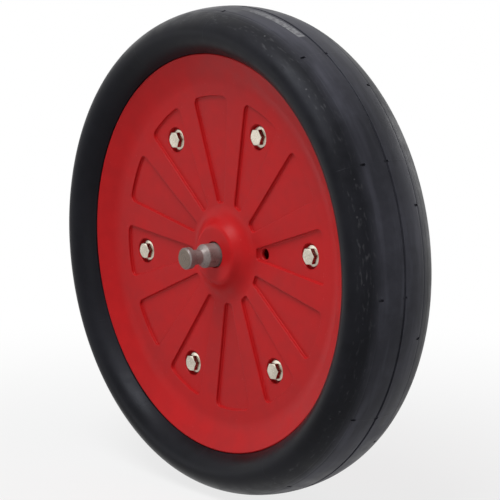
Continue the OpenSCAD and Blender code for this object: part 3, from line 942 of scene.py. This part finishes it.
@dataclass
class RimPair:
    """Two equal dished rim mouldings with wedge pockets, counterbores, a hub and a vent hole."""

    hub_hole_r: float = 8.8 * MM
    hub_face_r: float = 19.4 * MM
    hub_face_h: float = 21.0 * MM
    hub_root_r: float = 26.5 * MM
    hub_edge_r: float = 4.0 * MM
    hub_blend_r: float = 14.0 * MM
    web_h: float = 11.8 * MM
    web_slope: float = math.radians(2)
    web_t: float = 4.2 * MM
    lip_root_r: float = 118.0 * MM
    lip_blend_r: float = 24.0 * MM
    lip_nose_r: float = 0.9 * MM
    lip_heel_r: float = 0.4 * MM
    lip_t: float = 3.6 * MM
    barrel_r: float = 117.0 * MM
    barrel_t: float = 4.0 * MM
    seat_r: float = 20.03 * MM
    seat_h: float = 14.5 * MM
    cavity_r: float = 17.0 * MM
    cavity_h: float = 17.1 * MM
    tube_r: float = 25.53 * MM
    root_fillet: float = 1.5 * MM
    pocket_count: int = 12
    pocket_ends: Point = (34.0 * MM, 106.0 * MM)
    pocket_half_w: Point = (3.5 * MM, 18.5 * MM)
    pocket_corners: Point = (2.4 * MM, 4.0 * MM)
    pocket_depth: float = 1.9 * MM
    pocket_end_steps: int = 5
    edge_r: float = 0.45 * MM
    edge_spread: float = 1.3
    edge_lead: float = 0.8
    mouth_rise: float = 0.3
    floor_fillet: float = 0.55 * MM
    fillet_steps: Triple = (0.134, 0.366, 0.5)
    clear: float = 8.0 * MM
    lead: float = 0.12 * MM
    bolts: BoltCircle = BoltCircle()
    counterbore_r: float = 8.4 * MM
    bolt_hole_r: float = 3.3 * MM
    boss_r: float = 11.0 * MM
    vent_at: float = 41.5 * MM
    vent_r: float = 3.7 * MM
    rib_half: float = 1.4 * MM
    rib_gap: float = 1.0 * MM
    overlap: float = 1.0 * MM
    section_steps: int = 9
    turns: int = 240
    hole_turns: int = 48
    rim_r: float = field(init=False)
    rim_edge: float = field(init=False)

    def __post_init__(self) -> None:
        """Takes the outside sizes from the frame."""
        low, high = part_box("front_rim")
        self.rim_r, self.rim_edge = high.z, -low.y

    def web_at(self, r: float) -> float:
        """Height of the web's outside at a distance r from the axis."""
        return self.web_h + (r - self.hub_root_r) * math.tan(self.web_slope)

    def lip_back_at(self, r: float) -> float:
        """Height of the lip's tyre side at a distance r from the axis."""
        root = self.web_at(self.lip_root_r)
        rise = (self.rim_edge - root) / (self.rim_r - self.lip_root_r)
        return root + (r - self.lip_root_r) * rise - self.lip_t * math.hypot(1, rise)

    def section(self) -> list[Point]:
        """The moulding's section: hub, web, lip, barrel and bearing seat."""
        inner_r = self.barrel_r - self.barrel_t
        return rounded([
            Corner(self.hub_hole_r, self.hub_face_h, self.edge_r),
            Corner(self.hub_face_r, self.hub_face_h, self.hub_edge_r),
            Corner(self.hub_root_r, self.web_h, self.hub_blend_r),
            Corner(self.lip_root_r, self.web_at(self.lip_root_r), self.lip_blend_r),
            Corner(self.rim_r, self.rim_edge, self.lip_nose_r),
            Corner(self.rim_r, self.lip_back_at(self.rim_r), self.lip_heel_r),
            Corner(self.barrel_r, self.lip_back_at(self.barrel_r)),
            Corner(self.barrel_r, 0),
            Corner(inner_r, 0),
            Corner(inner_r, self.web_at(inner_r) - self.web_t, self.root_fillet),
            Corner(self.tube_r, self.web_at(self.tube_r) - self.web_t, self.root_fillet),
            Corner(self.tube_r, 0),
            Corner(self.seat_r, 0),
            Corner(self.seat_r, self.seat_h),
            Corner(self.cavity_r, self.seat_h),
            Corner(self.cavity_r, self.cavity_h),
            Corner(self.hub_hole_r, self.cavity_h),
        ], steps=self.section_steps)

    def ribs(self) -> Piece:
        """Radial stiffeners behind the web, from the bearing's tube to the barrel."""
        r0, r1 = self.tube_r - self.overlap, self.barrel_r - self.barrel_t + self.overlap
        tops = [self.web_at(r) - self.web_t + self.overlap for r in (r0, r1)]
        outline = [(r0, self.rib_gap), (r1, self.rib_gap), (r1, tops[1]), (r0, tops[0])]
        points = [Vector((r, -h, -self.rib_half)) for r, h in outline]
        rib = prism("rib", points, (0, 0, 2 * self.rib_half))
        return ring_of(rib, self.pocket_count, math.pi / self.pocket_count)

    def bosses(self) -> Piece:
        """Round bosses behind the web that the bolts pass through."""
        top = self.web_at(self.bolts.r - self.boss_r) - self.web_t + self.overlap
        boss = spun("boss", [(0, 0), (self.boss_r, 0), (self.boss_r, top), (0, top)], self.hole_turns)
        place(boss, at=(self.bolts.r, 0, 0))
        return ring_of(boss, self.bolts.count)

    def pocket_outline(self, grow: float) -> list[Vector]:
        """Outline of one pocket along +X, level with the web.

        Args:
            grow: How far the outline lies outside the pocket's own walls.

        Returns:
            The outline's points.
        """
        inner, outer = self.pocket_ends
        inner_half, outer_half = self.pocket_half_w
        swing = math.asin(outer_half / outer)
        lean = math.atan((outer_half - inner_half) / (outer * math.cos(swing) - inner))
        inner_half += grow * (1 / math.cos(lean) - math.tan(lean))
        outer_half += grow * (1 / math.cos(lean) + math.tan(lean))
        inner, outer = inner - grow, outer + grow
        swing = math.asin(outer_half / outer)
        reach = self.pocket_end_steps - 2
        arc = [swing * k / self.pocket_end_steps for k in range(-reach, reach + 1)]
        corner_x = outer * math.cos(swing)
        outline = rounded([
            Corner(inner, -inner_half, self.pocket_corners[0] + grow),
            Corner(corner_x, -outer_half, self.pocket_corners[1] + grow),
            *(Corner(outer * math.cos(a), outer * math.sin(a)) for a in arc),
            Corner(corner_x, outer_half, self.pocket_corners[1] + grow),
            Corner(inner, inner_half, self.pocket_corners[0] + grow),
        ])
        return [Vector((x, -self.clear, z)) for x, z in outline]

    @staticmethod
    def sink_floor(obj: Piece, steps: list[Point]) -> None:
        """Insets a tool's lowest face step by step.

        Args:
            obj: The tool, with its lowest face towards the wheel's middle.
            steps: How far each step goes inwards and down; a step with no inset is extruded.
        """
        with editing(obj):
            bpy.ops.mesh.select_all(action="DESELECT")
            mesh = bmesh.from_edit_mesh(obj.data)
            max(mesh.faces, key=lambda face: face.calc_center_median().y).select_set(True)
            bmesh.update_edit_mesh(obj.data)
            for inward, down in steps:
                if inward == 0:
                    bpy.ops.mesh.extrude_region_move(TRANSFORM_OT_translate={"value": (0, down, 0)})
                else:
                    bpy.ops.mesh.inset(thickness=inward, depth=down)

    def pockets(self) -> Piece:
        """Cutter for all pockets: soft upper edges, straight walls and filleted floors."""
        edge, fillet, arc = self.edge_r, self.floor_fillet, self.fillet_steps
        outline = self.pocket_outline(self.edge_spread * edge)
        tool = prism("pocket", outline, (0, self.clear - self.lead, 0))
        self.sink_floor(tool, [
            (self.edge_lead * edge, self.lead + arc[0] * edge),
            (arc[1] * edge, arc[1] * edge),
            (arc[0] * edge, arc[2] * edge),
            (0, self.pocket_depth - edge - fillet),
            (arc[0] * fillet, arc[2] * fillet),
            (arc[1] * fillet, arc[1] * fillet),
            (arc[2] * fillet, arc[0] * fillet),
        ])
        tidy_mesh(tool)
        place(tool, at=(0, -self.web_at(0), 0), turn=(0, 0, -self.web_slope))
        return ring_of(tool, self.pocket_count)

    def mouth(self, radius: float, at: float) -> Piece:
        """Tool that breaks the edge of a round hole in a pocket's floor.

        Args:
            radius: The hole's radius.
            at: Distance of the hole from the axis.

        Returns:
            The tool, level with the floor.
        """
        edge = self.edge_r
        wide = radius + self.edge_spread * edge
        section = [(0, self.overlap), (wide, self.overlap), (wide, self.mouth_rise * edge),
                   (radius, -edge), (0, -edge)]
        tool = spun("mouth", section, self.hole_turns)
        floor = self.web_at(at) - self.pocket_depth
        place(tool, at=(at, -floor, 0), turn=(0, 0, -self.web_slope))
        return tool

    def holes(self) -> Piece:
        """Cutter for the counterbores with their bolt holes, and for the vent hole."""
        below, above = -self.overlap, self.bolts.seat_h + self.clear
        section = rounded([
            Corner(0, above),
            Corner(self.counterbore_r, above),
            Corner(self.counterbore_r, self.bolts.seat_h, self.floor_fillet),
            Corner(self.bolt_hole_r, self.bolts.seat_h),
            Corner(self.bolt_hole_r, below),
            Corner(0, below),
        ])
        bore = spun("counterbore", section, self.hole_turns)
        place(bore, at=(self.bolts.r, 0, 0))
        drill = [(0, above), (self.vent_r, above), (self.vent_r, below), (0, below)]
        vent = spun("vent", drill, self.hole_turns)
        place(vent, at=(self.vent_at, 0, 0))
        return joined("holes", [ring_of(bore, self.bolts.count), vent])

    def moulding(self) -> Piece:
        """One rim moulding, dished towards -Y, with its first bolt on +X."""
        rim = spun("rim_moulding", self.section(), self.turns)
        combine(rim, self.ribs(), Join.ADD)
        combine(rim, self.bosses(), Join.ADD)
        combine(rim, self.pockets(), Join.CUT)
        bolt_mouths = ring_of(self.mouth(self.counterbore_r, self.bolts.r), self.bolts.count)
        combine(rim, joined("mouths", [bolt_mouths, self.mouth(self.vent_r, self.vent_at)]), Join.CUT)
        combine(rim, self.holes(), Join.CUT)
        soften(rim)
        return rim

    def build(self, finishes: Finishes) -> None:
        """Builds both halves from one moulding and dresses them."""
        front = self.moulding()
        front.name = "front_rim_moulding"
        rear = copy_of(front, "rear_rim_moulding")
        place(rear, turn=(0, 0, math.pi))
        for rim, node in ((front, "front_rim"), (rear, "rear_rim")):
            place(rim, turn=about_axle(self.bolts.rest_angle))
            finishes.dress(rim, Slot.RIM)
            settle(rim, Body.WHEEL, node)


@dataclass
class RimFasteners:
    """Hexagon flange bolts with their flanged lock nuts."""

    bolts: BoltCircle = BoltCircle()
    shank_r: float = 3.0 * MM
    flange_r: float = 7.1 * MM
    flange_t: float = 1.1 * MM
    flange_rise: float = 0.75 * MM
    flange_edge: float = 0.35 * MM
    hex_sides: int = 6
    hex_half: float = 5.0 * MM
    hex_face_r: float = 4.7 * MM
    hex_chamfer: float = 0.8 * MM
    hex_crown: float = 0.7 * MM
    hex_sunk: float = 0.6 * MM
    nut_h: float = 6.0 * MM
    nut_bore_r: float = 3.06 * MM
    lock_seat_r: float = 4.12 * MM
    lock_seat_h: float = 1.6 * MM
    thread_pitch: float = 1.0 * MM
    thread_depth: float = 0.4 * MM
    thread_flank: float = 0.45
    thread_turns: int = 9
    tip_chamfer: float = 0.6 * MM
    turns: int = 60
    head_h: float = field(init=False)
    tip_h: float = field(init=False)

    def __post_init__(self) -> None:
        """Takes the head's height and the tip's place from the frame."""
        low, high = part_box("rim_bolts")
        self.head_h, self.tip_h = -low.y - self.bolts.seat_h, -high.y

    def hexagon(self, height: float) -> Piece:
        """A hexagon on a flange, seat at h = 0, with rounded corners at its free end.

        Args:
            height: Height over flange and hexagon.

        Returns:
            The solid, on the axis.
        """
        corner_r = self.hex_half / math.cos(math.pi / self.hex_sides)
        corners = [FULL_TURN * k / self.hex_sides for k in range(self.hex_sides)]
        places = [(corner_r * math.cos(a), -self.hex_sunk, corner_r * math.sin(a)) for a in corners]
        body = prism("hexagon", [Vector(at) for at in places], (0, self.hex_sunk - height, 0))
        crown = spun("crown", rounded([
            Corner(0, height),
            Corner(self.hex_face_r, height, self.hex_crown),
            Corner(self.flange_r, height - self.hex_chamfer),
            Corner(self.flange_r, 0),
            Corner(0, 0),
        ]), self.turns)
        combine(body, crown, Join.COMMON)
        top = self.flange_t + self.flange_rise
        flange = spun("flange", rounded([
            Corner(0, top),
            Corner(self.hex_half - self.flange_edge, top),
            Corner(self.flange_r, self.flange_t, self.flange_edge),
            Corner(self.flange_r, 0, self.flange_edge),
            Corner(0, 0),
        ], steps=4), self.turns)
        combine(body, flange, Join.ADD)
        return body

    def shank(self) -> Piece:
        """The bolt's shank, with ring grooves for its thread and a chamfered tip."""
        in_head = self.bolts.seat_h + self.flange_t / 2
        points = [(0, in_head), (self.shank_r, in_head)]
        start = self.tip_h + self.tip_chamfer + self.thread_turns * self.thread_pitch
        root_r = self.shank_r - self.thread_depth
        for k in range(self.thread_turns):
            top = start - k * self.thread_pitch
            points += [(self.shank_r, top), (root_r, top - self.thread_flank * self.thread_pitch),
                       (root_r, top - (1 - self.thread_flank) * self.thread_pitch)]
        points += [(self.shank_r, self.tip_h + self.tip_chamfer),
                   (self.shank_r - self.tip_chamfer, self.tip_h), (0, self.tip_h)]
        return spun("shank", points, self.turns)

    def bolt(self) -> Piece:
        """One bolt on the axis."""
        bolt = self.hexagon(self.head_h)
        place(bolt, at=(0, -self.bolts.seat_h, 0))
        combine(bolt, self.shank(), Join.ADD)
        soften(bolt)
        return bolt

    def nut(self) -> Piece:
        """One nut on the axis, behind the rear rim."""
        nut = self.hexagon(self.nut_h)
        edge, far = self.flange_edge, self.nut_h + self.flange_t
        combine(nut, spun("nut_bore", [
            (0, -edge),
            (self.nut_bore_r + 2 * edge, -edge),
            (self.nut_bore_r, edge),
            (self.nut_bore_r, self.nut_h - self.lock_seat_h),
            (self.lock_seat_r, self.nut_h - self.lock_seat_h),
            (self.lock_seat_r, far),
            (0, far),
        ], self.turns), Join.CUT)
        place(nut, turn=(math.pi, 0, 0))
        place(nut, at=(0, self.bolts.seat_h, 0))
        soften(nut)
        return nut

    def build(self, finishes: Finishes) -> None:
        """Copies one bolt and one nut round the bolt circle and dresses them."""
        models = {"rim_bolt": self.bolt(), "rim_nut": self.nut()}
        for label, model in models.items():
            place(model, at=(self.bolts.r, 0, 0))
            for k in range(self.bolts.count):
                twin = copy_of(model, f"{label}_{k + 1}")
                place(twin, turn=about_axle(self.bolts.rest_angle + FULL_TURN * k / self.bolts.count))
                finishes.dress(twin, Slot.PLATED)
                settle(twin, Body.WHEEL, f"{label}s")
            bpy.data.objects.remove(model)


@dataclass
class StubAxle:
    """Turned axle with its journal, circlip grooves, stub, locking neck and head."""

    stub_r: float = 8.0 * MM
    groove_r: float = 8.05 * MM
    bearing_end: float = 14.5 * MM
    groove_end: float = 15.6 * MM
    journal_end: float = 17.1 * MM
    relief: Point = (20.2 * MM, 21.2 * MM)
    relief_depth: float = 0.3 * MM
    cone_h: Point = (29.8 * MM, 33.5 * MM)
    neck_r: float = 5.0 * MM
    neck_fillet: float = 0.8 * MM
    head_r: float = 7.3 * MM
    head_l: float = 5.0 * MM
    chamfer: float = 1.0 * MM
    edge_r: float = 0.25 * MM
    turns: int = 128
    end_h: float = field(init=False)
    rear_h: float = field(init=False)
    journal_r: float = field(init=False)

    def __post_init__(self) -> None:
        """Takes the ends and the journal from the frame."""
        low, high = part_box("axle")
        self.end_h, self.rear_h, self.journal_r = -low.y, -high.y, high.z

    def section(self) -> list[Point]:
        """The axle's section from its rear end to its head."""
        edge = self.edge_r
        head_h = self.end_h - self.head_l
        return rounded([
            Corner(0, self.rear_h),
            Corner(self.stub_r - self.chamfer, self.rear_h, edge),
            Corner(self.stub_r, self.rear_h + self.chamfer, edge),
            Corner(self.stub_r, -self.journal_end),
            Corner(self.journal_r, -self.journal_end, edge),
            Corner(self.journal_r, -self.groove_end),
            Corner(self.groove_r, -self.groove_end),
            Corner(self.groove_r, -self.bearing_end),
            Corner(self.journal_r, -self.bearing_end),
            Corner(self.journal_r, self.bearing_end),
            Corner(self.groove_r, self.bearing_end),
            Corner(self.groove_r, self.groove_end),
            Corner(self.journal_r, self.groove_end),
            Corner(self.journal_r, self.journal_end, edge),
            Corner(self.stub_r, self.journal_end),
            Corner(self.stub_r, self.relief[0]),
            Corner(self.stub_r - self.relief_depth, self.relief[0]),
            Corner(self.stub_r - self.relief_depth, self.relief[1]),
            Corner(self.stub_r, self.relief[1], edge / 2),
            Corner(self.stub_r, self.cone_h[0], edge),
            Corner(self.neck_r, self.cone_h[1], self.neck_fillet),
            Corner(self.neck_r, head_h, self.neck_fillet),
            Corner(self.head_r - self.chamfer / 2, head_h, edge),
            Corner(self.head_r, head_h + self.chamfer / 2, edge),
            Corner(self.head_r, self.end_h - self.chamfer, edge),
            Corner(self.head_r - self.chamfer, self.end_h, edge),
            Corner(0, self.end_h),
        ], steps=4)

    def build(self, finishes: Finishes) -> None:
        """Builds the axle and dresses it."""
        axle = spun("stub_axle", self.section(), self.turns)
        soften(axle)
        finishes.dress(axle, Slot.TURNED)
        settle(axle, Body.AXLE, "axle")


@dataclass
class InnerPieces:
    """Bearings, spacer, circlips and lock rings, which keep their shapes from the frame."""

    by_slot: dict[Slot, tuple[str, ...]] = field(default_factory=lambda: {
        Slot.LOCK: ("nut_lock_rings",),
        Slot.TURNED: ("bearing_spacer",),
        Slot.SPRING: ("front_circlip", "rear_circlip"),
        Slot.BEARING: tuple(f"{side}_{part}" for side in ("front", "rear")
                            for part in ("outer_ring", "inner_ring", "balls")),
        Slot.CAGE: ("front_cage", "rear_cage"),
        Slot.SEAL: tuple(f"{side}_{part}" for side in ("front", "rear")
                         for part in ("dust_seal", "inner_seal")),
    })

    def build(self, finishes: Finishes) -> None:
        """Dresses the nodes."""
        for slot, names in self.by_slot.items():
            for name in names:
                finishes.dress_node(name, slot)
                log.info("%s: dressed as %s", name, slot.value)


@dataclass
class Studio:
    """Plain pale floor, soft light, white background and the camera."""

    azimuth: float = math.radians(50.98)
    elevation: float = math.radians(9.89)
    distance: float = 1.4731
    aim: Point = (7.90 * MM, 0.88 * MM)
    lens: float = 157.2
    sensor: float = 36.0
    floor_size: float = 60.0
    floor_tone: Triple = (0.62, 0.62, 0.62)
    shadow_share: float = 0.22
    shadow_reach: Point = (0.16, 0.60)
    ambient: float = 0.25
    lamps: tuple[tuple[str, Triple, float, float], ...] = (
        ("overhead", (0.20, -0.75, 1.5), 0.9, 24.0),
        ("left_fill", (-1.3, -1.6, 0.1), 1.0, 3.6),
        ("low_fill", (1.3, -1.1, 0.12), 0.6, 2.0),
        ("rear_fill", (0.1, 1.9, 0.4), 1.0, 9.0),
    )

    def camera(self) -> None:
        """Places the camera at the photograph's viewing angle."""
        right = Vector((math.cos(self.azimuth), math.sin(self.azimuth), 0))
        back = Vector((math.sin(self.azimuth) * math.cos(self.elevation),
                       -math.cos(self.azimuth) * math.cos(self.elevation), math.sin(self.elevation)))
        up = back.cross(right)
        target = right * self.aim[0] + up * self.aim[1]
        bpy.ops.object.camera_add(location=target + back * self.distance)
        camera = bpy.context.object
        camera.rotation_euler = Matrix((right, up, back)).transposed().to_euler()
        camera.data.lens = self.lens
        camera.data.sensor_width = self.sensor
        camera.data.clip_end = 2 * self.floor_size
        bpy.context.scene.camera = camera

    @staticmethod
    def seen_directly(sketch: NodeSketch) -> Socket:
        """1 for rays from the camera, from gloss and through glass, 0 for light that falls on things."""
        path = sketch.add("ShaderNodeLightPath").outputs
        mirrored = sketch.math("MAXIMUM", path["Is Glossy Ray"], path["Is Transmission Ray"])
        return sketch.math("MAXIMUM", path["Is Camera Ray"], mirrored)

    def world(self) -> None:
        """White background over a soft even light."""
        world = bpy.data.worlds.new("soft_room")
        bpy.context.scene.world = world
        world.use_nodes = True
        sketch = NodeSketch(world.node_tree)
        sketch.tree.nodes.clear()
        light, white = (
            sketch.add("ShaderNodeBackground", {"Color": WHITE, "Strength": strength}).outputs[0]
            for strength in (self.ambient, 1.0)
        )
        shaders = {0: self.seen_directly(sketch), 1: light, 2: white}
        mixed = sketch.add("ShaderNodeMixShader", shaders).outputs[0]
        sketch.add("ShaderNodeOutputWorld", {"Surface": mixed})

    def floor(self) -> None:
        """Pale floor that looks white, with the wheel's shadow kept near it."""
        low, _ = CAD_BOX
        bpy.ops.object.select_all(action="DESELECT")
        bpy.ops.mesh.primitive_plane_add(size=self.floor_size, location=(0, 0, low.z))
        floor = bpy.context.object
        floor.name = "floor"
        sketch = MaterialSketch("pale_floor")
        sketch.tree.nodes.remove(sketch.shader)
        matt = sketch.add("ShaderNodeBsdfDiffuse", {"Color": self.floor_tone}).outputs[0]
        white = sketch.add("ShaderNodeEmission", {"Color": WHITE, "Strength": 1.0}).outputs[0]
        away = sketch.add("ShaderNodeVectorMath", {0: sketch.place()}, operation="LENGTH").outputs["Value"]
        plain = sketch.between(away, *self.shadow_reach, (1 - self.shadow_share, 1))
        share = sketch.math("MULTIPLY", self.seen_directly(sketch), plain)
        mixed = sketch.add("ShaderNodeMixShader", {0: share, 1: matt, 2: white}).outputs[0]
        sketch.set(sketch.tree.nodes["Material Output"].inputs["Surface"], mixed)
        floor.data.materials.append(sketch.material)

    def light(self) -> None:
        """Adds the soft lamps, each turned to the wheel's centre."""
        for name, at, size, power in self.lamps:
            bpy.ops.object.light_add(type="AREA", location=at)
            lamp = bpy.context.object
            lamp.name = name
            lamp.rotation_euler = Vector(at).to_track_quat("Z", "Y").to_euler()
            lamp.data.size = size
            lamp.data.energy = power

    def build(self) -> None:
        """Sets up the stage."""
        bpy.context.scene.view_settings.view_transform = "Standard"
        self.camera()
        self.world()
        self.floor()
        self.light()


def main() -> None:
    """Builds the wheel and its stage."""
    logging.basicConfig(level=logging.INFO, format="%(message)s")
    Studio().build()
    finishes = Finishes(Effects())
    for assembly in (Tyre(), RimPair(), RimFasteners(), StubAxle(), InnerPieces()):
        assembly.build(finishes)


if __name__ == "__main__":
    main()
